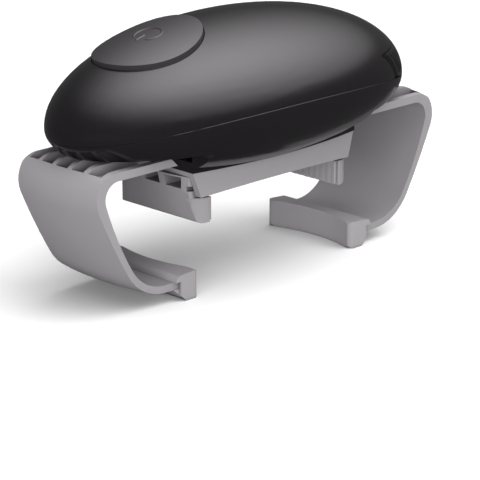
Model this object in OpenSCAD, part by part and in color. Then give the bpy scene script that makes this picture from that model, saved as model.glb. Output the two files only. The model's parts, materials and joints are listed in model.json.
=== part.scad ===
// Hand-held electric jar opener. Two jar arms slide together under the body and hold the jar,
// two lid jaws slide together in the carriage and hold the lid, and the carriage then turns the lid.
// X runs along the body, with the push button at the -X end. The rubber pads stand on Z = 0.

/* [Body] */
// Length of the egg-shaped body
body_len = 216; // [208:1:226]
// Shift of the body's middle towards the push button
body_shift = 2.9; // [1.5:0.1:3.5]
// Width of the body
body_w = 105; // [100:1:112]
// Height of the dome above the widest line
dome_h = 43; // [42:0.5:48]
// Depth of the bowl below the widest line
bowl_h = 28.6; // [27.5:0.1:31]
// Height of the widest line above the table
waist_z = 82.1; // [81.5:0.1:83]
// Drop of the seam's ends below the widest line
seam_drop = 2.9; // [2:0.1:4]
// Rise of the seam from its ends to the middle
seam_rise = 10.3; // [9:0.1:11]
// Wall of both housings
shell_wall = 2.4; // [1.8:0.1:2.8]

/* [Keel] */
// Height of the keel's underside above the table
keel_z = 60.2; // [59.5:0.1:61]
// Length of the keel
keel_len = 109; // [105:1:112]
// Width of the keel at its middle
keel_w = 67.4; // [65:0.2:70]
// Width of the keel at its ends
keel_end_w = 56; // [55:0.2:58]
// Height of the rails in the keel that carry the jar arms
rail_h = 5; // [4:0.1:6]

/* [Jar arms] */
// Width of a jar arm
arm_w = 54.4; // [50:0.2:55]
// Reach of an arm from the centre line, at rest
arm_reach = 112.8; // [108:0.2:118]
// Inner end of an arm's top limb from the centre line, at rest
limb_end = 63.2; // [61:0.2:66]
// Height of the top limb's side rims
rim_h = 6.3; // [5.5:0.1:6.8]
// Height of the arm's foot above the table
foot_z = 6.3; // [5:0.1:8]
// Thickness of the foot
foot_t = 3.6; // [3:0.1:4.5]
// Bulge of the arm across its width, seen from above
arm_crown = 2.5; // [1:0.1:3]
// Fall of the top limb's sides below its middle
arm_camber = 2.4; // [1:0.1:3]
// Outer radius of the arm's upper bend
bend_r = 14; // [12:0.5:16]
// Outer radius of the arm's lower bend
foot_r = 27; // [22:0.5:29]
// Lean of the panel under the upper bend, in degrees
lean_top = 24; // [20:1:26]
// Lean of the panel over the lower bend, in degrees
lean_foot = 31; // [29:1:34]
// Thickness of the panel at the upper bend
bend_t = 5.1; // [4:0.1:6]
// Number of pockets in the top limb
pockets = 5; // [3:1:6]

/* [Jar pads] */
// Inner face of a jar pad from the centre line, at rest
pad_x = 51.8; // [49:0.2:54]
// Width of a jar pad
pad_w = 58; // [54:0.5:60]
// Height of a jar pad
pad_h = 13.7; // [12.5:0.1:15]
// Thickness of a jar pad
pad_t = 15.2; // [13:0.2:17]
// Radius of the hollow in the pad's gripping face
pad_hollow_r = 80; // [60:1:110]

/* [Lid jaws] */
// Width of a lid jaw
jaw_w = 49; // [46:0.2:49.4]
// Width of a lid jaw below the carriage
jaw_foot_w = 55.6; // [53:0.2:56.6]
// Corner radius of a lid jaw below the carriage
jaw_corner_r = 9; // [7:0.5:9]
// Gripping face of a jaw's rubber from the centre line, at rest
jaw_x = 41.6; // [39:0.2:43]
// Height of the jaw's lower edge above the table
jaw_z = 34.6; // [33:0.2:37]
// Thickness of the jaw at its lower edge
jaw_t = 8.6; // [7.5:0.1:9.5]
// Slant of the jaw's outer face, in degrees
jaw_slant = 12.5; // [8:0.5:14]
// Width of a window in the jaw
window_w = 10.2; // [9.8:0.1:10.6]
// Height of a window in the jaw
window_h = 5.4; // [5.2:0.1:5.8]
// Spacing of the windows
window_pitch = 14.3; // [14:0.1:14.6]
// Thickness of the rubber on the jaw
jaw_rubber_t = 1.8; // [1.2:0.1:2.4]

/* [Carriage] */
// Height of the carriage
carriage_h = 12.7; // [12:0.1:13.5]
// Arch of the carriage's lower edge
carriage_arch = 3; // [1:0.1:3.4]
// Slope of the carriage's ends, in degrees
carriage_slope = 20; // [10:1:22]
// Thickness of the carriage's top
carriage_top_t = 2.5; // [2:0.1:3]
// Radius of the lid press pad
press_r = 12; // [9:0.5:13]

/* [Push button] */
// Distance of the button's centre from the middle of the body
button_x = 56.6; // [55:0.2:58]
// Length of the button
button_len = 56.4; // [53:0.2:58]
// Width of the button
button_w = 47.5; // [44:0.5:48.5]
// Height of the button over the body
button_proud = 2.3; // [1.2:0.1:2.6]
// Depth of the button's skirt
button_skirt = 7; // [6:0.1:8]
// Travel of the button
button_travel = 2.5; // [1.5:0.1:2.8]

/* [Battery cover] */
// Distance from the body's side to the opening for the battery cover
cover_side = 15.5; // [14.5:0.5:18]
// Height of the opening's upper edge above the table
cover_top_z = 97.6; // [97:0.1:99]
// Width of the finger slot beside the cover
finger_slot = 1.6; // [1:0.1:2]

/* [Gears] */
// Module of the jar rack and its pinion
jar_module = 1.5; // [1.5:0.1:1.5]
// Teeth of the jar pinion
jar_teeth = 20; // [20:1:20]
// Teeth of the lid pinion, of module 1
lid_teeth = 22; // [22:1:22]
// Teeth of the drive gear on the spindle, of module 1
drive_teeth = 60; // [56:1:62]
// Radius of the spindle
spindle_r = 7; // [6:0.1:7.5]
// Radial running clearance of the spindle in its bush
run_fit = 0.05; // [0.03:0.01:0.1]

/* [Fits] */
// Gap between parts that slide on each other
slide_gap = 0.4; // [0.3:0.05:0.5]
// Gap between the turning carriage and the keel
turn_gap = 0.3; // [0.3:0.05:0.5]
// Gap round the button and the battery cover
trim_gap = 0.5; // [0.35:0.05:0.6]

/* [Hidden] */

half_len = body_len / 2;
half_w = body_w / 2;
far = 300;
cover_half_w = half_w - cover_side;

// Levels that several pieces share, from the keel upwards
tunnel_z = keel_z + rail_h;
limb_z = tunnel_z + slide_gap;
limb_top = limb_z + rim_h;
crown_r = (pow(arm_w / 2, 2) + pow(arm_crown, 2)) / (2 * arm_crown);
roof_z = limb_top + slide_gap;
plate_z = limb_top + 1.1;
plate_t = 2;
gear_z1 = plate_z + plate_t + 0.5;
gear_t = 4;
gear_z2 = gear_z1 + gear_t + 0.6;
gear_z3 = gear_z2 + gear_t + 0.6;
top_plate_z = gear_z3 + gear_t + 0.6;
seam_mid_z = waist_z - seam_drop + seam_rise;
seam_r = (pow(half_len, 2) + pow(seam_rise, 2)) / (2 * seam_rise);
function seam_z(x) = seam_mid_z - seam_rise * pow((x + body_shift) / half_len, 2);
function dome_z(x) = waist_z + dome_h * sqrt(1 - pow((x + body_shift) / half_len, 2));

// Plan of the keel and of the carriage: two wide arcs between square ends
plan_r = (pow(keel_len / 2, 2) + pow((keel_w - keel_end_w) / 2, 2)) / (keel_w - keel_end_w);

// Racks: the right arm's and right jaw's are at -Y, the left ones at +Y
jar_pitch_r = jar_module * jar_teeth / 2;
lid_pitch_r = lid_teeth / 2;
addendum = 0.9;
dedendum = 1.15;
backlash = 0.16;

// Gear train: modules, teeth and shaft places
train_m2 = 0.8;
train_m3 = 0.6;
second_small = 14;
second_big = 50;
first_small = 12;
first_big = 50;
motor_small = 12;
axle_r = 1.5;
second_at = [-(drive_teeth + second_small) / 2 - 0.05, 0];
first_gap = train_m2 * (second_big + first_small) / 2 + 0.05;
first_turn = 35;
first_at = second_at + first_gap * [cos(first_turn), sin(first_turn)];
motor_gap = train_m3 * (first_big + motor_small) / 2 + 0.05;
motor_turn = -asin(first_at[1] / motor_gap);
motor_at = first_at + motor_gap * [cos(motor_turn), sin(motor_turn)];

screw_at = [66, half_w - 22.5];
screw_seam_z = seam_z(screw_at[0] - body_shift);
battery_r = 7.2;
battery_l = 50.5;
battery_y = 8;
battery_z = 87.5;
battery_x = 44;
button_z = dome_z(-button_x);
button_tilt = atan(pow(dome_h / half_len, 2) * (button_x - body_shift) / (button_z - waist_z));
button_floor = -12.5;
stem_r = 3;
stem_end = button_floor - 4;
switch_l = 12;
switch_top = stem_end - button_travel - 0.65;

// ---- shared shapes ----

module half_space(up) {
    translate([-far / 2, -far / 2, up ? 0 : -far]) cube([far, far, far]);
}

// The egg-shaped body, drawn in by d on every side
module egg(d) {
    translate([-body_shift, 0, waist_z]) {
        intersection() {
            scale([half_len - d, half_w - d, dome_h - d]) sphere(r = 1, $fn = 128);
            half_space(true);
        }
        intersection() {
            scale([half_len - d, half_w - d, bowl_h - d]) sphere(r = 1, $fn = 128);
            half_space(false);
        }
    }
}

// Everything under the seam: the seam is an arc seen from the side
module under_seam(lift) {
    translate([-body_shift, 0, seam_mid_z + lift - seam_r])
        rotate([90, 0, 0]) cylinder(r = seam_r, h = far, center = true, $fn = 256);
}

// Plan of the keel and the carriage, drawn in by d
module boat_plan(d) {
    intersection() {
        square([keel_len - 2 * d, keel_w], center = true);
        translate([0, plan_r - keel_w / 2]) circle(r = plan_r - d, $fn = 200);
        translate([0, keel_w / 2 - plan_r]) circle(r = plan_r - d, $fn = 200);
    }
}

// Outer form of the housings
module housing_form(d) {
    difference() {
        egg(d);
        difference() {
            translate([0, 0, roof_z + d]) half_space(false);
            translate([0, 0, waist_z]) cube([keel_len - 2 * d, body_w, 2 * far], center = true);
        }
        translate([0, 0, keel_z + d]) half_space(false);
    }
}

// Elliptic prism along the button's axis, grown by d
module button_prism(d, z0, z1) {
    at_button() translate([0, 0, z0]) scale([button_len / 2 + d, button_w / 2 + d, 1])
        cylinder(r = 1, h = z1 - z0, $fn = 96);
}

// Moves its children to the button's place, with Z along the button's travel
module at_button() {
    translate([-button_x, 0, button_z]) rotate([0, -button_tilt, 0]) children();
}

module at_screws() {
    for (sx = [-1, 1], sy = [-1, 1])
        translate([sx * screw_at[0] - body_shift, sy * screw_at[1], 0]) children();
}

// Opening of the battery compartment, narrowed by d
module cover_prism(d, slot) {
    h = cover_top_z - waist_z + 6;
    translate([40, 0, cover_top_z - h - d]) linear_extrude(h)
        translate([0, d + slot - cover_half_w]) square([far, 2 * (cover_half_w - d - slot)]);
}

// ---- gears ----

// A gear in plan: one tooth points along +X. Its flanks are radial up to the pitch circle, and then lean in.
module gear_plan(m, teeth) {
    r = m * teeth / 2;
    tip = r + addendum * m;
    root = r - dedendum * m;
    half_pitch = (PI * m - backlash) / 4;
    tip_a = (half_pitch - addendum * m * tan(20)) / tip * 180 / PI;
    pitch_a = half_pitch / r * 180 / PI;
    polygon([for (i = [0:teeth - 1], p = [[root, -pitch_a], [r, -pitch_a], [tip, -tip_a],
            [tip, tip_a], [r, pitch_a], [root, pitch_a]])
        p[0] * [cos(i * 360 / teeth + p[1]), sin(i * 360 / teeth + p[1])]]);
}

// A gear wheel whose tooth or gap points in the direction of its partner
module wheel(m, teeth, t, toward, gap) {
    rotate([0, 0, toward + (gap ? 180 / teeth : 0)]) linear_extrude(t) gear_plan(m, teeth);
}

// A rack in plan: its pitch line is y = 0, its teeth point along -Y and a gap lies at x = 0
module rack_plan(m, x0, x1, back) {
    pitch = PI * m;
    half_pitch = (pitch - backlash) / 4;
    tip_x = half_pitch - addendum * m * tan(20);
    root_x = half_pitch + dedendum * m * tan(20);
    first = ceil((x0 + root_x) / pitch - 0.5);
    last = floor((x1 - root_x) / pitch - 0.5);
    polygon(concat([[x0, back], [x0, dedendum * m]],
        [for (i = [first:last], p = [[-root_x, 1.15], [-tip_x, -0.9], [tip_x, -0.9], [root_x, 1.15]])
            [(i + 0.5) * pitch + p[0], p[1] * m]],
        [[x1, dedendum * m], [x1, back]]));
}

// ---- housings ----

module upper_housing() color("#242224") {
    difference() {
        union() {
            difference() {
                egg(0);
                egg(shell_wall);
                under_seam(0);
                button_prism(trim_gap, -20, 20);
                intersection() {
                    cover_prism(0, 0);
                    translate([0, 0, waist_z - 10]) half_space(true);
                }
            }
            button_well();
            intersection() {
                egg(shell_wall / 2);
                at_screws() translate([0, 0, screw_seam_z]) cylinder(r = 4, h = dome_h, $fn = 48);
            }
        }
        at_screws() translate([0, 0, screw_seam_z - 1]) cylinder(r = 1.3, h = 10, $fn = 32);
    }
}

// Well under the button: a collar with a floor that carries the spring, and two clips for the switch
module button_well() {
    wall = 1.6;
    difference() {
        intersection() {
            button_prism(trim_gap + wall, button_floor - wall, 10);
            egg(shell_wall / 2);
        }
        button_prism(trim_gap, button_floor, 20);
        at_button() translate([0, 0, button_floor - 2 * wall])
            cylinder(r = stem_r + slide_gap, h = 4 * wall, $fn = 48);
    }
    for (s = [-1, 1]) at_button() translate([s * (switch_l / 2 + 0.8) - 0.8, -3, switch_top - 6])
        cube([1.6, 6, button_floor - wall - switch_top + 6.4]);
}

module lower_housing() color("#1c1a1c") {
    boss_top = screw_seam_z - 0.2;
    difference() {
        union() {
            difference() {
                union() {
                    housing_form(0);
                    translate([0, 0, keel_z]) linear_extrude(rail_h + 1) boat_plan(0);
                }
                housing_form(shell_wall);
                arm_tunnel();
            }
            keel_rails();
            intersection() {
                housing_form(shell_wall / 2);
                at_screws() translate([0, 0, keel_z]) cylinder(r = 4, h = boss_top - keel_z, $fn = 48);
            }
        }
        difference() {
            translate([0, 0, seam_mid_z - 12]) half_space(true);
            under_seam(-0.1);
        }
        at_screws() {
            cylinder(r = 1.7, h = far, $fn = 32);
            cylinder(r = 3.1, h = boss_top - 7, $fn = 48);
        }
        translate([0, 0, keel_z - 1]) cylinder(r = spindle_r + 2, h = 30, $fn = 64);
    }
}

// The way in for the jar arms through both ends of the keel
module arm_tunnel() {
    for (s = [-1, 1]) translate([s * keel_len / 2, 0, (tunnel_z + roof_z) / 2])
        cube([30, arm_w + 2 * slide_gap, roof_z - tunnel_z], center = true);
}

// Rails on the keel's floor, and the tube round the bush that the jar pinion stands on
module keel_rails() {
    inner_y = spindle_r + 4;
    inner_len = keel_len - 12;
    outer_y = arm_w / 2 - 1.2;
    outer_len = keel_len - 33;
    for (s = [-1, 1]) translate([-inner_len / 2, s * inner_y - 1.2, keel_z + shell_wall / 2])
        difference() {
            cube([inner_len, 2.4, rail_h - shell_wall / 2]);
            translate([inner_len / 2, 1.2 - s * inner_y, -1]) cylinder(r = spindle_r + 4, h = 10, $fn = 64);
        }
    for (s = [-1, 1]) translate([-outer_len / 2, s * outer_y - 1.2, keel_z + shell_wall / 2])
        cube([outer_len, 2.4, rail_h - shell_wall / 2]);
    translate([0, 0, keel_z]) cylinder(r = spindle_r + 5, h = rail_h, $fn = 64);
}

// ---- push button and battery cover ----

module power_button() color("#5a575a") {
    difference() {
        intersection() {
            button_prism(0, -button_skirt, 10);
            egg(-button_proud);
        }
        intersection() {
            button_prism(-1.8, -button_skirt - 1, 10);
            egg(1.2);
        }
    }
    intersection() {
        at_button() translate([0, 0, stem_end]) cylinder(r = stem_r, h = 16, $fn = 48);
        egg(0.2);
    }
}

// Coil spring round the button's stem, swept as one tube
module button_spring() color("silver") {
    turns = 5;
    steps = 12;
    sides = 6;
    wire_r = 0.4;
    coil_r = stem_r + 1.3;
    z0 = button_floor + wire_r + 0.05;
    z1 = -wire_r - 1.75;
    n = turns * steps;
    rings = [for (i = [0:n]) [for (j = [0:sides - 1])
        let (t = i * 360 / steps, q = j * 360 / sides, rr = coil_r + wire_r * cos(q))
        [rr * cos(t), rr * sin(t), z0 + (z1 - z0) * i / n + wire_r * sin(q)]]];
    at_button() polyhedron([for (r = rings, p = r) p], concat(
        [[for (j = [0:sides - 1]) j]],
        [for (i = [0:n - 1], j = [0:sides - 1], f = [0, 1])
            let (a = i * sides + j, b = i * sides + (j + 1) % sides, c = a + sides, d = b + sides)
            f == 0 ? [a, d, b] : [a, c, d]],
        [[for (j = [sides - 1:-1:0]) n * sides + j]]));
}

module battery_cover() color("#242224") {
    rib_z = seam_z(0.7 * half_len - body_shift) + 1.2;
    rib_h = cover_top_z - rib_z - 2;
    groove_w = 0.9;
    groove_pitch = 2;
    difference() {
        intersection() {
            difference() {
                egg(0);
                egg(shell_wall);
            }
            cover_prism(trim_gap, finger_slot);
        }
        under_seam(trim_gap);
        translate([-far / 2, 0, 0]) half_space_x();
        difference() {
            for (s = [-1, 1], i = [0:3])
                translate([half_len / 2, s * (cover_half_w - finger_slot - 2.6 - i * groove_pitch) - groove_w / 2, rib_z])
                    cube([far, groove_w, rib_h]);
            egg(0.8);
        }
    }
}

// Everything at the button's end of the body, as a cutter
module half_space_x() {
    translate([-far / 2, -far / 2, -far / 2 + waist_z]) cube([far, far, far]);
}

module battery_tray() color("#333333") {
    wall = 1.2;
    w = 2 * battery_y + 2 * battery_r + 1;
    x0 = battery_x - 3.5;
    translate([x0, -w / 2 - wall, battery_z - battery_r - 0.5 - wall]) difference() {
        cube([battery_l + 3, w + 2 * wall, battery_r + wall + 2]);
        translate([wall, wall, wall]) cube([battery_l + 3, w, 20]);
    }
}

module batteries() color("#b08040") {
    for (s = [-1, 1]) translate([battery_x + (s > 0 ? 0 : battery_l), s * battery_y, battery_z])
        rotate([0, s * 90, 0]) {
            cylinder(r = battery_r, h = battery_l - 1.4, $fn = 48);
            cylinder(r = 2.7, h = battery_l, $fn = 32);
        }
}

// One sprung contact for each cell at the inner end
module contact_springs() color("silver") {
    for (s = [-1, 1]) translate([battery_x - 2.3, s * battery_y, battery_z])
        rotate([0, 90, 0]) {
            cylinder(r = 4, h = 0.5, $fn = 32);
            cylinder(r1 = 3.4, r2 = 2.2, h = 2.2, $fn = 32);
        }
}

// Plate in the cover's end of the compartment that joins both cells
module contact_plate() color("silver") {
    translate([battery_x + battery_l + 0.1, -battery_y - 4, battery_z - 4]) cube([0.4, 2 * battery_y + 8, 8]);
}

// Micro switch under the button's stem, which meets the plunger at the end of its travel
module micro_switch() color("#3a3a3c") {
    at_button() {
        translate([-switch_l / 2, -3, switch_top - 6]) cube([switch_l, 6, 6]);
        translate([0, 0, switch_top - 1]) cylinder(r = 1.2, h = 1.6, $fn = 32);
    }
}

// ---- drive inside the body ----

module motor() color("#9a9a9c") {
    can_r = 11.9;
    can_h = 20;
    translate([motor_at[0], motor_at[1], top_plate_z + plate_t]) {
        difference() {
            cylinder(r = can_r, h = can_h, $fn = 64);
            for (s = [-1, 1]) translate([-20, s > 0 ? 9.2 : -20, -1]) cube([40, 10.8, can_h + 2]);
        }
        translate([0, 0, can_h]) cylinder(r = 4, h = 1.6, $fn = 48);
        translate([0, 0, -plate_t]) cylinder(r = 3, h = plate_t, $fn = 48);
        translate([0, 0, gear_z3 - top_plate_z - plate_t]) cylinder(r = 1, h = 10, $fn = 32);
    }
}

// Motor screws, beside the line from the motor to the first gear
module at_motor_screws() {
    for (s = [-1, 1]) translate([motor_at[0], motor_at[1], 0]) rotate([0, 0, motor_turn + s * 90])
        translate([8, 0, 0]) children();
}

module motor_screws() color("silver") {
    at_motor_screws() {
        translate([0, 0, top_plate_z - 1.2]) cylinder(r = 2, h = 1.2, $fn = 32);
        translate([0, 0, top_plate_z - 1.2]) cylinder(r = 1.2, h = 1.2 + plate_t, $fn = 32);
    }
}

// Posts between the gearbox plates, clear of the gears
post_at = [[36, 0], [-22, -28], [-32, 29]];
post_r = 2.6;
leg_y = 29.3;

// Outline of the gearbox plates, round the shafts and the posts
module gearbox_plan() {
    hull() {
        for (p = post_at) translate(p) circle(r = post_r + 2.4, $fn = 48);
        translate(second_at) circle(r = 7, $fn = 48);
        for (s = [-1, 1]) translate([0, s * (leg_y - 4)]) circle(r = 5.5, $fn = 48);
    }
}

module posts(r) {
    for (p = post_at) translate(p) circle(r = r, $fn = 48);
}

// Base plate, on two legs that stand on the keel's floor beside the jar arms
module gearbox_base() color("#d8d8d4") {
    difference() {
        union() {
            translate([0, 0, plate_z]) linear_extrude(plate_t) gearbox_plan();
            translate([0, 0, plate_z]) linear_extrude(top_plate_z - plate_z) posts(post_r);
            for (s = [-1, 1]) translate([-8, s * leg_y - 1.1, keel_z + shell_wall])
                cube([16, 2.2, plate_z - keel_z - shell_wall + 1]);
        }
        translate([0, 0, plate_z - 1]) cylinder(r = spindle_r + 0.35, h = 4, $fn = 64);
        translate([second_at[0], second_at[1], plate_z - 1]) cylinder(r = axle_r, h = 4, $fn = 32);
        translate([0, 0, top_plate_z - 8]) linear_extrude(10) posts(1);
    }
}

module gearbox_top() color("#d8d8d4") {
    difference() {
        translate([0, 0, top_plate_z]) linear_extrude(plate_t) gearbox_plan();
        translate([motor_at[0], motor_at[1], top_plate_z - 1]) cylinder(r = 3.05, h = 4, $fn = 48);
        for (p = [first_at, second_at]) translate([p[0], p[1], top_plate_z - 1]) cylinder(r = axle_r, h = 4, $fn = 32);
        at_motor_screws() translate([0, 0, top_plate_z - 1]) cylinder(r = 1.2, h = 4, $fn = 32);
    }
}

module gear_axles() color("silver") {
    translate([second_at[0], second_at[1], plate_z]) cylinder(r = axle_r, h = top_plate_z + plate_t - plate_z, $fn = 32);
    translate([first_at[0], first_at[1], gear_z2 - 0.3]) cylinder(r = axle_r, h = top_plate_z + plate_t - gear_z2 + 0.3, $fn = 32);
}

module spindle_bush() color("#c8a860") {
    translate([0, 0, keel_z]) difference() {
        union() {
            cylinder(r = spindle_r + 2, h = rail_h, $fn = 64);
        }
        translate([0, 0, -1]) cylinder(r = spindle_r + run_fit, h = rail_h + 2, $fn = 64);
    }
}

module housing_screws() color("#707072") {
    head_z = screw_seam_z - 0.2 - 7;
    at_screws() {
        translate([0, 0, head_z - 2]) cylinder(r = 2.7, h = 2, $fn = 48);
        translate([0, 0, head_z - 0.5]) cylinder(r = 1.3, h = 13.5, $fn = 32);
    }
}

module motor_pinion() color("#d4b060") {
    translate([motor_at[0], motor_at[1], gear_z3]) difference() {
        wheel(train_m3, motor_small, gear_t, motor_turn + 180, true);
        translate([0, 0, -1]) cylinder(r = 1.05, h = gear_t + 2, $fn = 32);
    }
}

module first_gear() color("#e8e6e0") {
    translate([first_at[0], first_at[1], 0]) difference() {
        union() {
            translate([0, 0, gear_z2]) wheel(train_m2, first_small, gear_t + 0.6, first_turn + 180, true);
            translate([0, 0, gear_z3]) wheel(train_m3, first_big, gear_t, motor_turn, false);
        }
        cylinder(r = axle_r + run_fit, h = far, $fn = 32);
    }
}

module second_gear() color("#e8e6e0") {
    translate([second_at[0], second_at[1], 0]) difference() {
        union() {
            translate([0, 0, gear_z1]) wheel(1, second_small, gear_t + 0.6, 0, true);
            translate([0, 0, gear_z2]) wheel(train_m2, second_big, gear_t, first_turn, false);
        }
        cylinder(r = axle_r + run_fit, h = far, $fn = 32);
    }
}

module jar_pinion() color("#e8e6e0") {
    translate([0, 0, limb_z]) difference() {
        rotate([0, 0, 90]) linear_extrude(rim_h - 0.6) gear_plan(jar_module, jar_teeth);
        translate([0, 0, -1]) cylinder(r = spindle_r + 0.35, h = far, $fn = 64);
    }
}

// ---- jar arms ----

function arc(c, r, a0, a1, n) = [for (i = [0:n]) c + r * [cos(a0 + (a1 - a0) * i / n), sin(a0 + (a1 - a0) * i / n)]];

// Side view of an arm face from the top limb to the foot: a bend, a slightly bowed panel, a wide bend
function arm_face(reach, top, foot, r_top, r_foot, a_top, a_foot) =
    let (c1 = [reach - r_top, top - r_top],
        p1 = c1 + r_top * [cos(a_top), -sin(a_top)],
        z2 = foot + r_foot * (1 - sin(a_foot)),
        r_bow = (p1[1] - z2) / (sin(a_foot) - sin(a_top)),
        c2 = p1 - r_bow * [cos(a_top), -sin(a_top)],
        p2 = c2 + r_bow * [cos(a_foot), -sin(a_foot)],
        c3 = p2 - r_foot * [cos(a_foot), -sin(a_foot)])
    concat(arc(c1, r_top, 90, -a_top, 10),
        [for (i = [1:6]) arc(c2, r_bow, -a_top, -a_foot, 6)[i]],
        [for (i = [1:8]) arc(c3, r_foot, -a_foot, -90, 8)[i]]);

arm_outer = arm_face(arm_reach, limb_top, foot_z, bend_r, foot_r, lean_top, lean_foot);
arm_inner = arm_face(arm_reach - bend_t, limb_z, foot_z + foot_t, bend_r - 6, foot_r - 3.5,
    lean_top - 6, lean_foot);
foot_end = pad_x + 10.7;
arm_loop = concat([[limb_end - 6, limb_z], [limb_end - 6, limb_top]], arm_outer,
    [[foot_end - 8, foot_z], [foot_end - 8, foot_z + foot_t]],
    [for (i = [len(arm_inner) - 1:-1:0]) arm_inner[i]]);

// The arm is turned about an upright axis, so that it bulges by arm_crown across its width
crown_at = crown_r - arm_reach - arm_crown;
function from_axis(x) = norm([x + crown_at, arm_w / 2]);

// Everything under the arm's cambered top: an arc across the arm that follows the upper bend
camber_fall = arm_camber + 0.3;
camber_r = (pow(arm_w / 2, 2) + pow(camber_fall, 2)) / (2 * camber_fall);
module under_camber() {
    middle_x = arm_reach + arm_crown - bend_r;
    bend = arc([camber_r - bend_r, middle_x], bend_r, 0, 60, 6);
    slope = [-sin(60), cos(60)];
    translate([0, 0, limb_top + 0.3 - camber_r]) rotate([0, 90, 0]) rotate([0, 0, 180])
        rotate([0, 0, -30]) rotate_extrude(angle = 60, $fn = 240)
            polygon(concat([[1, 0], [camber_r, 0]], bend, [bend[6] + 60 * slope, [1, bend[6][1] + 60 * slope[1]]]));
}

// The C-shaped band of an arm, with its ends cut square
module arm_band() {
    difference() {
        intersection() {
            under_camber();
            translate([-crown_at, 0, 0]) rotate([0, 0, -18]) rotate_extrude(angle = 36, $fn = 240)
                polygon([for (p = arm_loop) [from_axis(p[0]), p[1]]]);
            translate([0, -arm_w / 2, 0]) cube([far, arm_w, far]);
        }
        rotate([90, 0, 0]) linear_extrude(far, center = true) polygon([
            [0, -1], [foot_end, -1], [foot_end, limb_z - 10], [limb_end, limb_z - 10], [limb_end, limb_z],
            [limb_end + rim_h + 1, limb_top + 1], [0, limb_top + 1]]);
    }
}

// Right jar arm. Its rack reaches past the pinion on the near side.
module right_jar_arm() color("#8f8c8f") {
    rib = 2.6;
    pocket_floor = 1.2;
    pocket_w = (arm_w - (pockets + 1) * rib) / pockets;
    pocket_end = from_axis(arm_reach - 5.5);
    rack_y = -jar_pitch_r;
    rack_back = 9.8;
    difference() {
        arm_band();
        intersection() {
            for (i = [0:pockets - 1])
                translate([limb_end + 6, -arm_w / 2 + rib + i * (pocket_w + rib), limb_z + pocket_floor])
                    cube([far, pocket_w, 20]);
            translate([-crown_at, 0, 0]) cylinder(r = pocket_end, h = far, $fn = 240);
        }
        translate([limb_end - 1, -rack_y - 2, limb_z - 1]) cube([16, rack_back + 2.7, 20]);
    }
    translate([0, rack_y, limb_z + 0.4]) mirror([0, 1, 0]) linear_extrude(rim_h - 1)
        rack_plan(jar_module, -9, limb_end + 4, rack_back);
}

module left_jar_arm() rotate([0, 0, 180]) right_jar_arm();

// Right jar pad: a moulded block that slots over the end of the arm's foot
module right_jar_pad() color("#a19ea1") {
    slot = foot_t + 0.04;
    slot_w = arm_w + 0.8;
    end_r = 3;
    difference() {
        intersection() {
            translate([0, pad_w / 2, 0]) rotate([90, 0, 0]) linear_extrude(pad_w) hull() {
                translate([pad_x + 2, 2]) circle(r = 2, $fn = 32);
                translate([pad_x + 2.2, pad_h - 2.2]) circle(r = 2.2, $fn = 32);
                translate([pad_x + pad_t - 3.6, pad_h - 3.2]) circle(r = 2.6, $fn = 32);
                translate([pad_x + pad_t - 1.4, foot_z + 1]) circle(r = 1.4, $fn = 32);
                translate([pad_x + 7.5, 1.2]) circle(r = 1.2, $fn = 32);
            }
            translate([0, 0, -1]) linear_extrude(pad_h + 2) hull() {
                for (s = [-1, 1]) translate([pad_x + end_r, s * (pad_w / 2 - end_r)])
                    circle(r = end_r, $fn = 48);
                translate([pad_x + pad_t, -pad_w / 2]) square([1, pad_w]);
            }
        }
        translate([foot_end - 0.02, -slot_w / 2, foot_z - 0.02]) cube([20, slot_w, slot]);
        for (s = [-1, 1]) translate([foot_end + 0.6, s > 0 ? slot_w / 2 : -slot_w / 2 - 20, -1])
            cube([20, 20, foot_z + slot + 1]);
        translate([pad_x + 4.6 - pad_hollow_r, 0, -1]) cylinder(r = pad_hollow_r, h = 30, $fn = 200);
    }
}

module left_jar_pad() rotate([0, 0, 180]) right_jar_pad();

// ---- carriage ----

carriage_top = keel_z - turn_gap;
carriage_z = carriage_top - carriage_h;
channel_w = jaw_w + 0.6;
ledge_z = 50.6 + (carriage_top - 59.9);
ledge_t = 1.8;
core_x = 14;

module carriage() color("#868386") {
    end_x = keel_len / 2 - 0.4;
    end_in = carriage_h * tan(carriage_slope);
    half = keel_len / 2;
    arch_r = (pow(half, 2) + pow(carriage_arch, 2)) / (2 * carriage_arch);
    difference() {
        union() {
            difference() {
                intersection() {
                    translate([0, 0, carriage_z - 1]) linear_extrude(carriage_h + 1) boat_plan(0.4);
                    rotate([90, 0, 0]) linear_extrude(far, center = true) polygon([
                        [-end_x, carriage_top], [end_x, carriage_top],
                        [end_x - end_in, carriage_z], [-end_x + end_in, carriage_z]]);
                }
                translate([0, 0, carriage_z + carriage_arch - arch_r])
                    rotate([90, 0, 0]) cylinder(r = arch_r, h = far, center = true, $fn = 200);
                translate([0, 0, (carriage_z + carriage_top - carriage_top_t) / 2 - 1])
                    cube([far, channel_w, carriage_h - carriage_top_t + 2], center = true);
                side_pockets();
            }
            for (s = [-1, 1]) translate([-keel_len / 2 + 6, s > 0 ? channel_w / 2 - 2.2 : -channel_w / 2, ledge_z])
                cube([keel_len - 12, 2.2, ledge_t]);
            at_cover_screws() translate([0, 0, ledge_z + ledge_t]) cylinder(r = 2.2, h = carriage_top - ledge_z - ledge_t - 1, $fn = 32);
            translate([0, 0, ledge_z + ledge_t + 0.5]) cylinder(r = 3, h = carriage_top - ledge_z - ledge_t - 1, $fn = 48);
            translate([0, 0, carriage_top - 1]) cylinder(r = spindle_r, h = gear_z1 - 0.1 - carriage_top + 1, $fn = 64);
            translate([0, 0, gear_z1 - 1]) cylinder(r = spindle_r - 2, h = gear_t + 1, $fn = 64);
        }
        at_cover_screws() translate([0, 0, ledge_z - 1]) cylinder(r = 1, h = 7, $fn = 32);
        translate([0, 0, gear_z1 - 5]) cylinder(r = 1.2, h = 20, $fn = 32);
    }
}

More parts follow.
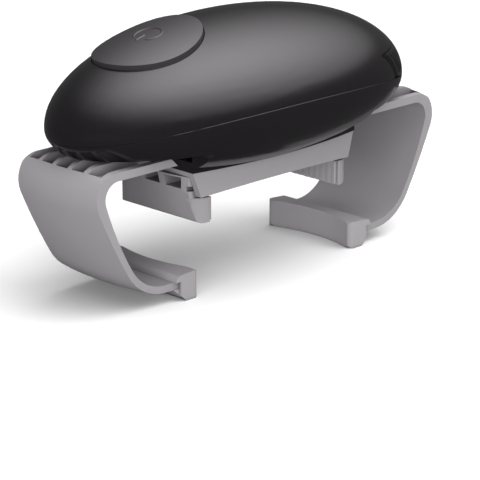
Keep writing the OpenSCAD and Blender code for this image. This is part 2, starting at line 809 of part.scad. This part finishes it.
// Hollows between the channel's walls and the carriage's sides, open below
module side_pockets() {
    for (s = [-1, 1]) difference() {
        translate([0, 0, carriage_z - 1]) linear_extrude(carriage_h - 1.6) boat_plan(2.6);
        translate([0, s * (channel_w / 2 + 1.6 - far / 2), carriage_z]) cube([far, far, far], center = true);
        for (x = [-30, 0, 30]) translate([x, 0, carriage_z]) cube([1.6, far, far], center = true);
    }
}

module at_cover_screws() {
    for (sx = [-1, 1], sy = [-1, 1]) translate([sx * (core_x - 3), sy * (channel_w / 2 - 2.4), 0]) children();
}

// Plate under the lid pinion, between the ledges of the carriage
module carriage_cover() color("#868386") {
    translate([0, 0, ledge_z]) difference() {
        translate([-core_x, -channel_w / 2 + 2.3, 0]) cube([2 * core_x, channel_w - 4.6, ledge_t]);
        translate([0, 0, -1]) cylinder(r = 3.05, h = 4, $fn = 48);
        at_cover_screws() translate([0, 0, -1]) cylinder(r = 2.3, h = 4, $fn = 32);
    }
}

module carriage_screws() color("#707072") {
    at_cover_screws() {
        translate([0, 0, ledge_z - 1.2]) cylinder(r = 1.9, h = 1.2, $fn = 32);
        translate([0, 0, ledge_z - 1.2]) cylinder(r = 1, h = 6, $fn = 32);
    }
}

// Rubber disc that rests on the lid
module lid_press_pad() color("#4a484a") {
    translate([0, 0, ledge_z - 2.6]) difference() {
        union() {
            cylinder(r = press_r, h = 2.6, $fn = 64);
            cylinder(r = 3, h = 2.6 + ledge_t, $fn = 48);
        }
        translate([0, 0, -1]) cylinder(r = press_r - 4, h = 1.8, $fn = 64);
    }
}

module drive_gear() color("#e8e6e0") {
    translate([0, 0, gear_z1]) difference() {
        linear_extrude(gear_t) gear_plan(1, drive_teeth);
        translate([0, 0, -1]) cylinder(r = spindle_r - 2, h = 6, $fn = 64);
        for (i = [0:4]) rotate([0, 0, i * 72 + 36]) translate([17, 0, -1]) cylinder(r = 5.5, h = 10, $fn = 48);
    }
}

module spindle_screw() color("silver") {
    translate([0, 0, gear_z1 + gear_t]) {
        cylinder(r = spindle_r - 0.5, h = 0.5, $fn = 48);
        translate([0, 0, -8]) cylinder(r = 1.2, h = 8.2, $fn = 32);
    }
}

// Level at which the jaws widen below the carriage
shoulder_z = carriage_z - 0.4;
lid_rack_z = ledge_z + ledge_t + 0.6;
lid_rack_t = 3;

module lid_pinion() color("#e8e6e0") {
    translate([0, 0, lid_rack_z]) difference() {
        rotate([0, 0, 90]) linear_extrude(lid_rack_t) gear_plan(1, lid_teeth);
        translate([0, 0, -1]) cylinder(r = 3 + run_fit, h = 10, $fn = 48);
    }
}

// ---- lid jaws ----

// Right lid jaw. Its rack reaches past the pinion on the near side.
module right_lid_jaw() color("#9c999c") {
    face_x = jaw_x + jaw_rubber_t;
    top_z = carriage_top - carriage_top_t - 0.3;
    h = top_z - jaw_z;
    bottom_x = jaw_x + jaw_t;
    lean = h * tan(jaw_slant);
    window_z = ledge_z + 0.4;
    corner_r = 2;
    shoulder_x = bottom_x + (shoulder_z - jaw_z) * tan(jaw_slant);
    difference() {
        intersection() {
            union() {
                translate([0, 0, jaw_z]) linear_extrude(shoulder_z - jaw_z) hull() {
                    translate([face_x, -jaw_foot_w / 2]) square([0.3, jaw_foot_w]);
                    for (s = [-1, 1]) translate([shoulder_x - jaw_corner_r, s * (jaw_foot_w / 2 - jaw_corner_r)])
                        circle(r = jaw_corner_r, $fn = 64);
                }
                translate([0, 0, shoulder_z]) linear_extrude(top_z - shoulder_z) hull() {
                    translate([face_x, -jaw_w / 2]) square([1, jaw_w]);
                    for (s = [-1, 1]) translate([bottom_x + lean - 2 - corner_r, s * (jaw_w / 2 - corner_r)])
                        circle(r = corner_r, $fn = 48);
                    translate([bottom_x + lean - 3, -jaw_w / 4]) square([3, jaw_w / 2]);
                }
            }
            rotate([90, 0, 0]) linear_extrude(far, center = true) hull() {
                translate([face_x, jaw_z]) square([1, 1]);
                translate([bottom_x - 2.5, jaw_z + 2.5]) circle(r = 2.5, $fn = 48);
                translate([face_x, top_z - 1]) square([bottom_x + lean - face_x, 1]);
            }
        }
        for (i = [-1:1]) translate([face_x + (i < 0 ? 3.5 : -1), i * window_pitch - window_w / 2, window_z])
            cube([far, window_w, window_h]);
        for (s = [-1, 1]) translate([face_x - 1, s > 0 ? jaw_w / 2 - 2.2 : -jaw_w / 2 - 1, ledge_z - 0.3])
            cube([far, 3.2, ledge_t + 0.6]);
    }
    translate([0, -lid_pitch_r, lid_rack_z]) mirror([0, 1, 0]) linear_extrude(lid_rack_t)
        rack_plan(1, -9.5, face_x + 3, 7);
}

module left_lid_jaw() rotate([0, 0, 180]) right_lid_jaw();

// Ribbed rubber on the jaw's gripping face
module right_lid_pad() color("#858285") {
    ribs = 13;
    pitch = (jaw_foot_w - 4) / ribs;
    translate([0, 0, jaw_z + 0.6]) linear_extrude(shoulder_z - 0.2 - jaw_z - 0.6) difference() {
        translate([jaw_x, -jaw_foot_w / 2 + 1]) square([jaw_rubber_t, jaw_foot_w - 2]);
        for (i = [0:ribs]) translate([jaw_x, (i - ribs / 2) * pitch]) circle(r = 0.8, $fn = 24);
    }
}

module left_lid_pad() rotate([0, 0, 180]) right_lid_pad();

upper_housing();
lower_housing();
power_button();
button_spring();
battery_cover();
battery_tray();
batteries();
contact_springs();
contact_plate();
micro_switch();
motor();
motor_screws();
gearbox_base();
gearbox_top();
gear_axles();
spindle_bush();
housing_screws();
motor_pinion();
first_gear();
second_gear();
jar_pinion();
left_jar_arm();
left_jar_pad();
right_jar_arm();
right_jar_pad();
carriage();
carriage_cover();
carriage_screws();
lid_press_pad();
drive_gear();
spindle_screw();
lid_pinion();
left_lid_jaw();
left_lid_pad();
right_lid_jaw();
right_lid_pad();
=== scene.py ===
"""Hand-held electric jar opener in a plain pale studio.

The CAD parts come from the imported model. This script gives each part the finish of the real moulding,
rounds the sharp edges of the visible mouldings on copies of them, adds a sign to the button, and sets
lamps and camera.
All lengths are in metres unless a name ends in _mm.
"""
import json
import math

import bmesh
import bpy
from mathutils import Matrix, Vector, bvhtree

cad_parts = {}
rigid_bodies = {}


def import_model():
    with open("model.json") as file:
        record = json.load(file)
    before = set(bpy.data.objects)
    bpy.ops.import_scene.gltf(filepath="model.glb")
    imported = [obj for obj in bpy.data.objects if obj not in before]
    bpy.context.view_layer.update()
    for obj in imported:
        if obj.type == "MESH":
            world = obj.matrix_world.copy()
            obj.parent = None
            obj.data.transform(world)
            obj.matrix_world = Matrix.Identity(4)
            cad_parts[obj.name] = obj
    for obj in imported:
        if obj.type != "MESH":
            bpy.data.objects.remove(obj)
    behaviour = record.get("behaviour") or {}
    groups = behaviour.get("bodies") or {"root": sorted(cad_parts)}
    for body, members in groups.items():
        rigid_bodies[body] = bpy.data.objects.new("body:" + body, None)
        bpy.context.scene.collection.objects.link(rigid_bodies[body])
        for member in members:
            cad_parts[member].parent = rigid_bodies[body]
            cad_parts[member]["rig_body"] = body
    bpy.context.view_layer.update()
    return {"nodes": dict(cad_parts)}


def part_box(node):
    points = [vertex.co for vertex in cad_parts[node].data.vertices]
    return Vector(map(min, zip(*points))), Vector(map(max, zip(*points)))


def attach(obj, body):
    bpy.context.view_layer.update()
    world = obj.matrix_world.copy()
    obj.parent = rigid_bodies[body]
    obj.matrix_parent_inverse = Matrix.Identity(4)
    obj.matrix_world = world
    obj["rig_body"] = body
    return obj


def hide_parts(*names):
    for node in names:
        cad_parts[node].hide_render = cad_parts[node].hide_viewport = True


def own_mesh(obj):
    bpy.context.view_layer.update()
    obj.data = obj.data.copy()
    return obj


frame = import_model()
NODES = frame["nodes"]
MM = 0.001

# Plastics
PLASTIC_IOR = 1.5
MIRROR_TINT = (1.0, 0.955, 1.0, 1.0)   # the photograph's highlights are a trace purple
FLOW_MM = 40                           # how far apart melt flow shifts the tone
# Painted shade in pockets: in a closed pocket the colour is darkened to this share of the colour on an open face.
# The two ambient occlusion values below set where that shade is full and where it fades out.
PAINTED_POCKET_SHADE = 0.4                      # tone in a closed pocket, of the tone on an open face
CLOSED_IN, OPEN_AIR = 0.25, 0.8        # how open a pocket and a plain face are to the air, from 0 to 1

# The Mix node's sockets, which share their names: two colours and their mix, then two numbers and their mix
COLOUR_A, COLOUR_B, COLOUR_OUT = 6, 7, 2
NUMBER_A, NUMBER_B, NUMBER_OUT = 2, 3, 0


# ---- colour and node helpers ----

def linear(hex_colour):
    """sRGB hex, such as '8f8c8f', to linear RGBA."""
    channels = [int(hex_colour[i:i + 2], 16) / 255 for i in (0, 2, 4)]
    return [c / 12.92 if c <= 0.04045 else ((c + 0.055) / 1.055) ** 2.4 for c in channels] + [1.0]


def add(owner, kind, settings=None, links=None):
    """Adds one node to a material or world: settings go to its attributes or input sockets, links join
    (node, output) to inputs."""
    tree = owner.node_tree
    node = tree.nodes.new(kind)
    for name, value in (settings or {}).items():
        if name in node.inputs:
            node.inputs[name].default_value = value
        else:
            setattr(node, name, value)
    for name, (source, output) in (links or {}).items():
        tree.links.new(source.outputs[output], node.inputs[name])
    return node


def moulded(name, colour, mottle, roughness, specular, grain_mm, grain_height_mm, uneven=0.05, hollow_mm=0):
    """A moulded plastic or rubber: a tone that drifts over some FLOW_MM as melt flow leaves it, and the
    spark-eroded grain of the mould as fine bumps. grain_mm is drawn coarser than the real grain, so that it
    shows. Where hollow_mm is given, pockets narrower than about hollow_mm get painted shade: their colour is
    darkened by how closed in they are, so that they look darker than this soft light alone makes them."""
    material = bpy.data.materials.new(name)
    material.use_nodes = True
    shader = material.node_tree.nodes["Principled BSDF"]
    for socket, value in {"IOR": PLASTIC_IOR, "Specular IOR Level": specular, "Specular Tint": MIRROR_TINT,
                          "Metallic": 0.0}.items():
        shader.inputs[socket].default_value = value
    where = add(material, "ShaderNodeTexCoord")
    drift = add(material, "ShaderNodeTexNoise", {"Scale": 1 / (FLOW_MM * MM), "Detail": 2.0},
                {"Vector": (where, "Object")})
    tone = add(material, "ShaderNodeMix", {"data_type": "RGBA"}, {"Factor": (drift, "Fac")})
    tone.inputs[COLOUR_A].default_value = linear(colour)
    tone.inputs[COLOUR_B].default_value = linear(mottle)
    grain = add(material, "ShaderNodeTexNoise", {"Scale": 1 / (grain_mm * MM), "Detail": 3.0},
                {"Vector": (where, "Object")})
    sheen = add(material, "ShaderNodeMapRange", {"To Min": roughness - uneven, "To Max": roughness + uneven},
                {"Value": (grain, "Fac")})
    bumps = add(material, "ShaderNodeBump", {"Strength": 1.0, "Distance": grain_height_mm * MM},
                {"Height": (grain, "Fac")})
    tree = material.node_tree
    # Painted shade: ambient occlusion multiplies the base colour down in narrow pockets
    if hollow_mm:
        occlusion = add(material, "ShaderNodeAmbientOcclusion", {"Distance": hollow_mm * MM, "samples": 8})
        painted_shade = add(material, "ShaderNodeMapRange",
                   {"From Min": CLOSED_IN, "From Max": OPEN_AIR, "To Min": PAINTED_POCKET_SHADE},
                   {"Value": (occlusion, "AO")})
        shaded_colour = add(material, "ShaderNodeMix", {"data_type": "RGBA", "blend_type": "MULTIPLY", "Factor": 1.0})
        tree.links.new(tone.outputs[COLOUR_OUT], shaded_colour.inputs[COLOUR_A])
        tree.links.new(painted_shade.outputs["Result"], shaded_colour.inputs[COLOUR_B])
        tone = shaded_colour
    tree.links.new(tone.outputs[COLOUR_OUT], shader.inputs["Base Color"])
    tree.links.new(sheen.outputs["Result"], shader.inputs["Roughness"])
    tree.links.new(bumps.outputs["Normal"], shader.inputs["Normal"])
    return material


def metal(name, colour, roughness, streak_mm, uneven=0.08, stretch_along=8):
    """A bare or plated metal part, with the fine streaks that turning, drawing or stamping leaves."""
    material = bpy.data.materials.new(name)
    material.use_nodes = True
    shader = material.node_tree.nodes["Principled BSDF"]
    shader.inputs["Metallic"].default_value = 1.0
    shader.inputs["Base Color"].default_value = linear(colour)
    where = add(material, "ShaderNodeTexCoord")
    stretch = add(material, "ShaderNodeMapping", {"Scale": (1, 1, stretch_along)}, {"Vector": (where, "Object")})
    streaks = add(material, "ShaderNodeTexNoise", {"Scale": 1 / (streak_mm * MM), "Detail": 2.0},
                  {"Vector": (stretch, "Vector")})
    sheen = add(material, "ShaderNodeMapRange", {"To Min": roughness - uneven, "To Max": roughness + uneven},
                {"Value": (streaks, "Fac")})
    material.node_tree.links.new(sheen.outputs["Result"], shader.inputs["Roughness"])
    return material


# ---- finishes ----

# Finish: how it is made, its settings and the parts that have it. The settings of moulded() are colour, mottle,
# roughness, specular, grain_mm, grain_height_mm and, where given, uneven and hollow_mm; those of metal() are
# colour, roughness and streak_mm.
FINISHES = {
    # Black ABS housings: satin, so the light tent shows as a wide soft highlight
    "black ABS, satin moulded": (moulded, ("121012", "151315", 0.20, 0.78, 0.35, 0.003, 0.03),
                                 ["upper_housing", "lower_housing", "battery_cover"]),
    # Charcoal ABS of the push button: rougher than the housing, so its top shows no clear highlight
    "charcoal ABS, matt moulded": (moulded, ("302e30", "343234", 0.36, 0.85, 0.4, 0.006), ["power_button"]),
    # Grey ABS of the arms, jaws and carriage: low gloss, even tone, with painted shade darkening its pockets
    "grey ABS, low gloss moulded": (moulded, ("918e91", "969396", 0.48, 0.4, 0.4, 0.015, 0.05, 8),
                                    ["left_jar_arm", "right_jar_arm", "left_lid_jaw", "right_lid_jaw", "carriage",
                                     "carriage_cover"]),
    # Grey TPE rubber of the gripping pads: matt, with painted shade darkening its narrow hollows
    "grey TPE rubber, matt moulded": (moulded, ("979497", "9d9a9d", 0.62, 0.3, 0.5, 0.02, 0.05, 3),
                                      ["left_jar_pad", "right_jar_pad", "left_lid_pad", "right_lid_pad"]),
    # Dark TPE rubber of the pad that presses on the lid: matt, nearly black
    "dark TPE rubber, matt moulded": (moulded, ("4a484a", "4f4d4f", 0.65, 0.3, 0.5, 0.02), ["lid_press_pad"]),
    # Natural acetal of the gears and their plates: milky white, waxy
    "natural acetal, moulded": (moulded, ("e6e4da", "ebe9e0", 0.4, 0.45, 0.6, 0.005),
                                ["drive_gear", "second_gear", "first_gear", "jar_pinion", "lid_pinion",
                                 "gearbox_base", "gearbox_top"]),
    # Unpolished black ABS inside, a shade paler than the housing
    "black ABS, inner parts": (moulded, ("262528", "2a292c", 0.5, 0.4, 0.5, 0.01),
                               ["battery_tray", "micro_switch"]),
    # PVC sleeve of the cells: plain grey and glossy
    "plain wrapped cell": (moulded, ("8d8a84", "93908a", 0.3, 0.5, 1.0, 0.002), ["batteries"]),
    # Zinc-plated steel: pale and slightly blue, with a soft sheen
    "zinc-plated steel": (metal, ("b9b9bc", 0.35, 0.5),
                          ["motor", "motor_screws", "spindle_screw", "gear_axles"]),
    # Nickel plate on spring steel: warm white and brighter than zinc
    "nickel-plated spring steel": (metal, ("c4c1b8", 0.25, 0.3),
                                   ["button_spring", "contact_springs", "contact_plate"]),
    # Black oxide on the screws: dark, with an oily sheen
    "blackened steel screw": (metal, ("4c4b4e", 0.4, 0.3), ["housing_screws", "carriage_screws"]),
    # Sintered bronze of the bush: brown and dull from its pores
    "sintered bronze": (metal, ("a9814a", 0.45, 0.3), ["spindle_bush"]),
    # Turned brass of the motor pinion: yellow, with fine rings
    "turned brass": (metal, ("c9a95c", 0.3, 0.3), ["motor_pinion"]),
}

for finish, (make, settings, names) in FINISHES.items():
    material = make(finish, *settings)
    for name in names:
        slots = NODES[name].data.materials
        slots.clear()
        slots.append(material)


# ---- edges as the mould leaves them ----

WELD_MM = 0.002            # corners closer than this are one corner
FLAT_DEG = 0.3             # faces closer in direction than this are one face
SHARP_DEG, CRISP_DEG = 38, 40   # edges sharper than this are rounded, and stay crisp in the shading
EDGE_MM = {"left_jar_arm": 0.9, "right_jar_arm": 0.9, "left_jar_pad": 1.2, "right_jar_pad": 1.2,
           "left_lid_jaw": 0.6, "right_lid_jaw": 0.6, "power_button": 0.5, "carriage": 0.4,
           "upper_housing": 0.25, "battery_cover": 0.25}
SEAM_LIP_MM = 0.35
EGG_CENTRE = Vector((-2.9, 0, 82.1)) * MM
EGG_HALF_WIDTH = 52.5 * MM


def place(name, mesh, body):
    """A piece of its own in the scene, which rides on a body and keeps the materials its mesh carries."""
    piece = bpy.data.objects.new(name, mesh)
    bpy.context.scene.collection.objects.link(piece)
    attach(piece, body)
    return piece


def moulding(name, edge_mm, chosen=lambda edge: True, clamp=True):
    """A copy of a part whose sharp edges are rounded as in the mould, in the place of the plain one."""
    part = NODES[name]
    mesh = part.data.copy()
    work = bmesh.new()
    work.from_mesh(mesh)
    bmesh.ops.remove_doubles(work, verts=work.verts, dist=WELD_MM * MM)
    bmesh.ops.dissolve_limit(work, angle_limit=math.radians(FLAT_DEG), verts=work.verts, edges=work.edges)
    sharp = [e for e in work.edges if len(e.link_faces) == 2 and e.calc_face_angle(0) > math.radians(SHARP_DEG)
             and chosen(e)]
    bmesh.ops.bevel(work, geom=sharp, offset=edge_mm * MM, segments=2, profile=0.5, affect="EDGES",
                    clamp_overlap=clamp)
    for face in work.faces:
        face.smooth = True
    for edge in work.edges:
        edge.smooth = len(edge.link_faces) == 2 and edge.calc_face_angle(0) < math.radians(CRISP_DEG)
    work.to_mesh(mesh)
    work.free()
    # The imported normals belong to the old corners
    if "custom_normal" in mesh.attributes:
        mesh.attributes.remove(mesh.attributes["custom_normal"])
    copy = place(name + "_moulding", mesh, part["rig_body"])
    fair = copy.modifiers.new("faces stay flat", "WEIGHTED_NORMAL")
    fair.keep_sharp = True
    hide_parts(name)


def along_seam(edge):
    """Whether an edge of the lower housing is the outer lip that meets the upper one."""
    middle = (edge.verts[0].co + edge.verts[1].co) / 2
    facing_up = any(face.normal.z > 0.85 for face in edge.link_faces)
    outward = any(abs(face.normal.z) < 0.7 and face.normal.dot(middle - EGG_CENTRE) > 0.5 * EGG_HALF_WIDTH
                  for face in edge.link_faces)
    return facing_up and outward


for name, edge_mm in EDGE_MM.items():
    moulding(name, edge_mm)
# The lip catches the light as a thin bright line. Short edges elsewhere would hold a clamped bevel near zero.
moulding("lower_housing", SEAM_LIP_MM, chosen=along_seam, clamp=False)


# ---- power sign on the button ----

SIGN_RADIUS_MM, BEAD_WIDTH_MM, BEAD_HEIGHT_MM = 6.6, 1.3, 0.45
SIGN_GAP_DEG = 36                       # from the bar to each end of the ring
BAR_FROM, BAR_TO = 0.25, 1.2            # along the radius
END_TAPER = 0.55
SUNK_MM = 0.03                          # how far the bead's rim lies in the button
ARC_STEPS, BAR_STEPS, BEAD_SIDES = 60, 12, 6
WELL_ABOVE = 0.2                        # metres, over the whole opener


def power_sign():
    """The usual sign for on and off, moulded as a low bead on the button's top."""
    low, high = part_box("power_button")
    centre = (Vector(low) + Vector(high)) / 2
    button = NODES["power_button"].data
    top = bvhtree.BVHTree.FromPolygons([v.co for v in button.vertices], [f.vertices for f in button.polygons])
    gap = math.radians(SIGN_GAP_DEG)
    turns = [gap + i * (2 * math.pi - 2 * gap) / ARC_STEPS for i in range(ARC_STEPS + 1)]
    arc = [(math.cos(turn), math.sin(turn)) for turn in turns]
    bar = [(BAR_FROM + (BAR_TO - BAR_FROM) * i / BAR_STEPS, 0.0) for i in range(BAR_STEPS + 1)]
    bead = bmesh.new()
    for path in (arc, bar):
        rings = []
        for i, (u, v) in enumerate(path):
            before, after = path[max(i - 1, 0)], path[min(i + 1, len(path) - 1)]
            side = Vector((after[1] - before[1], after[0] - before[0], 0)).normalized()
            taper = END_TAPER if i in (0, len(path) - 1) else 1.0
            ring = []
            for step in range(BEAD_SIDES + 1):
                turn = math.pi * step / BEAD_SIDES
                across = math.cos(turn) * BEAD_WIDTH_MM / 2 * taper * MM
                spot = centre + Vector((-u, v, 0)) * SIGN_RADIUS_MM * MM + side * across
                hit, normal = top.ray_cast(Vector((spot.x, spot.y, WELL_ABOVE)), Vector((0, 0, -1)))[:2]
                raised = math.sin(turn) * BEAD_HEIGHT_MM * taper - SUNK_MM
                ring.append(bead.verts.new(hit + normal * raised * MM))
            rings.append(ring)
        for one, two in zip(rings, rings[1:]):
            for j in range(BEAD_SIDES):
                bead.faces.new((one[j], one[j + 1], two[j + 1], two[j]))
        for ring in (rings[0], rings[-1]):
            bead.faces.new(ring)
    bmesh.ops.recalc_face_normals(bead, faces=bead.faces)
    for face in bead.faces:
        face.smooth = len(face.verts) == 4
    mesh = bpy.data.meshes.new("power_sign")
    bead.to_mesh(mesh)
    bead.free()
    mesh.materials.append(button.materials[0])
    place("power_sign", mesh, "button")


power_sign()


# ---- the return spring, as a smooth-shaded copy on the housing ----

coil = place("return_coil", NODES["button_spring"].data.copy(), "housing")
for face in coil.data.polygons:
    face.use_smooth = True
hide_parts("button_spring")
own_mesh(coil)


# ---- floor, lamps and camera ----

def towards(azimuth, elevation):
    """The direction of something seen from the opener. Azimuth 0 is the near side, 90 is +X."""
    az, el = math.radians(azimuth), math.radians(elevation)
    return Vector((math.cos(el) * math.sin(az), -math.cos(el) * math.cos(az), math.sin(el)))


def grey(level):
    return (level, level, level, 1)


# White paper to the camera. The black housing in the photograph mirrors a dark table, so mirror rays see it
# nearly black, and the light that it throws up on the opener is that of a mid grey.
PAPER_WHITE, PAPER_BOUNCE, PAPER_MIRRORED = 0.98, 0.50, 0.07
HALF_FLOOR = 6
floor_mesh = bpy.data.meshes.new("floor")
floor_mesh.from_pydata([(x * HALF_FLOOR, y * HALF_FLOOR, 0) for x, y in ((-1, -1), (1, -1), (1, 1), (-1, 1))], [],
                       [(0, 1, 2, 3)])
floor = bpy.data.objects.new("floor", floor_mesh)
bpy.context.scene.collection.objects.link(floor)
paper = bpy.data.materials.new("white seamless paper")
paper.use_nodes = True
paper_shader = paper.node_tree.nodes["Principled BSDF"]
paper_shader.inputs["Roughness"].default_value = 0.9
paper_shader.inputs["Specular IOR Level"].default_value = 0.0
rays = add(paper, "ShaderNodeLightPath")
unseen_tone = add(paper, "ShaderNodeMix", {"data_type": "RGBA"}, {"Factor": (rays, "Is Glossy Ray")})
unseen_tone.inputs[COLOUR_A].default_value = grey(PAPER_BOUNCE)
unseen_tone.inputs[COLOUR_B].default_value = grey(PAPER_MIRRORED)
paper_tone = add(paper, "ShaderNodeMix", {"data_type": "RGBA"}, {"Factor": (rays, "Is Camera Ray")})
paper_tone.inputs[COLOUR_B].default_value = grey(PAPER_WHITE)
paper.node_tree.links.new(unseen_tone.outputs[COLOUR_OUT], paper_tone.inputs[COLOUR_A])
paper.node_tree.links.new(paper_tone.outputs[COLOUR_OUT], paper_shader.inputs["Base Color"])
floor_mesh.materials.append(paper)

# The walls are white to the camera. Everything else sees the light tent over the table: pale cloth above its
# lip, brightest in the direction of the lamp behind it, and dark walls below the lip.
LIP_DEG, LIP_BLUR_DEG = 15.7, 4
LAMP_AZIMUTH, LAMP_ELEVATION = 52, 65
LAMP_LEVEL, LAMP_FALLOFF, WALL_LEVEL = 3.7, 3.85, 0.10
world = bpy.data.worlds.new("light tent")
bpy.context.scene.world = world
world.use_nodes = True
way = add(world, "ShaderNodeTexCoord")
height = add(world, "ShaderNodeSeparateXYZ", links={"Vector": (way, "Generated")})
above_lip = add(world, "ShaderNodeMapRange",
                {"interpolation_type": "SMOOTHSTEP",
                 "From Min": math.sin(math.radians(LIP_DEG - LIP_BLUR_DEG)),
                 "From Max": math.sin(math.radians(LIP_DEG + LIP_BLUR_DEG))},
                {"Value": (height, "Z")})
to_lamp = add(world, "ShaderNodeVectorMath", {"operation": "DOT_PRODUCT"}, {"Vector": (way, "Generated")})
to_lamp.inputs[1].default_value = towards(LAMP_AZIMUTH, LAMP_ELEVATION)
near_lamp = add(world, "ShaderNodeMapRange", links={"Value": (to_lamp, "Value")})
glow = add(world, "ShaderNodeMath", {"operation": "POWER"})
glow.inputs[1].default_value = LAMP_FALLOFF
world.node_tree.links.new(near_lamp.outputs["Result"], glow.inputs[0])
cloth = add(world, "ShaderNodeMapRange", {"To Min": WALL_LEVEL, "To Max": LAMP_LEVEL},
            {"Value": (glow, "Value")})
tent = add(world, "ShaderNodeMapRange", {"To Min": WALL_LEVEL},
           {"Value": (above_lip, "Result"), "To Max": (cloth, "Result")})
world_rays = add(world, "ShaderNodeLightPath")
level = add(world, "ShaderNodeMix", {"data_type": "FLOAT"}, {"Factor": (world_rays, "Is Camera Ray")})
level.inputs[NUMBER_B].default_value = 1.0
background = world.node_tree.nodes["Background"]
background.inputs["Color"].default_value = grey(1)
world.node_tree.links.new(tent.outputs["Result"], level.inputs[NUMBER_A])
world.node_tree.links.new(level.outputs[NUMBER_OUT], background.inputs["Strength"])

FILL_DISTANCE = 2.0
OPENER_MIDDLE = Vector((0, 0, 0.08))


def fill(name, azimuth, elevation, width, height, power):
    """A wide bounce wall that faces the opener and leaves no highlight of its own."""
    lamp = bpy.data.lights.new(name, "AREA")
    lamp.shape = "RECTANGLE"
    lamp.size, lamp.size_y = width, height
    lamp.energy = power
    wall = bpy.data.objects.new(name, lamp)
    away = towards(azimuth, elevation)
    wall.location = OPENER_MIDDLE + FILL_DISTANCE * away
    wall.rotation_euler = away.to_track_quat("Z", "Y").to_euler()
    wall.visible_glossy = False
    bpy.context.scene.collection.objects.link(wall)


fill("near fill", 25, 16, width=2.0, height=1.4, power=6)
fill("camera-side fill", -55, 8, width=1.8, height=1.0, power=40)

# The camera, fitted to the photograph's outlines
CAMERA_AZIMUTH, CAMERA_ELEVATION, CAMERA_DISTANCE = -44.7, 17.5, 1.3
AIM = Vector((3.81, 0, 9.0)) * MM
camera_data = bpy.data.cameras.new("camera")
camera_data.lens = 199.9
camera_data.sensor_width = 36
camera = bpy.data.objects.new("camera", camera_data)
away = towards(CAMERA_AZIMUTH, CAMERA_ELEVATION)
camera.location = AIM + CAMERA_DISTANCE * away
camera.rotation_euler = away.to_track_quat("Z", "Y").to_euler()
bpy.context.scene.collection.objects.link(camera)
bpy.context.scene.camera = camera
bpy.context.scene.view_settings.view_transform = "Standard"
